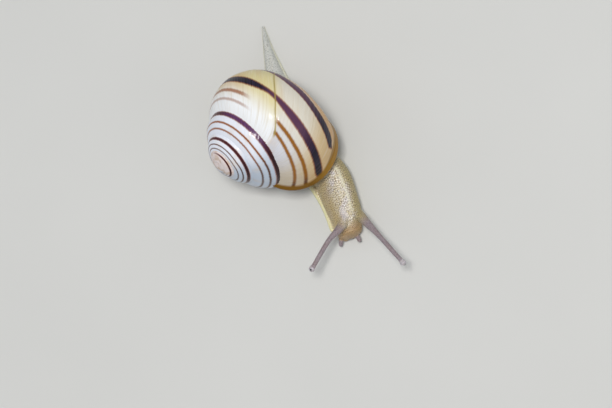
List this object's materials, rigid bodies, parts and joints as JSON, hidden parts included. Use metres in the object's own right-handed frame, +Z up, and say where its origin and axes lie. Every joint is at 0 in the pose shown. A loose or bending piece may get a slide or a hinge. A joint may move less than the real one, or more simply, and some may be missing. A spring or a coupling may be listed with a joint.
{
  "type": "banded land snail model",
  "caption": "Striped land snail crawling with its body stretched out, feelers raised and coiled banded shell carried on its back; still life-size museum model.",
  "frame": {"origin": "on the floor under the middle of the whole model's bounding box", "axes": "+Z up from the floor, -Y the way the head points, +X the snail's own left; the shell's apex points to -X, forwards and up"},
  "size_m": [0.0234, 0.0474, 0.0192],
  "materials": {
    "shell": "glossy cream shell with blackish and tan spiral bands and fine growth ribs",
    "flesh": "moist beige-grey skin with pale tubercles",
    "mantle": "moist smooth mantle edge",
    "feeler": "moist lavender-grey skin, finely granular",
    "eye": "glossy near-black"
  },
  "bodies": {
    "root": {"shell": "shell", "mantle_collar": "mantle", "head": "flesh", "neck": "flesh", "foot_middle": "flesh", "tail": "flesh", "tentacle_upper_right": "feeler", "tentacle_bulb_right": "feeler", "tentacle_lower_right": "feeler", "eye_right": "eye", "tentacle_upper_left": "feeler", "tentacle_bulb_left": "feeler", "tentacle_lower_left": "feeler", "eye_left": "eye"}
  },
  "joints": []
}
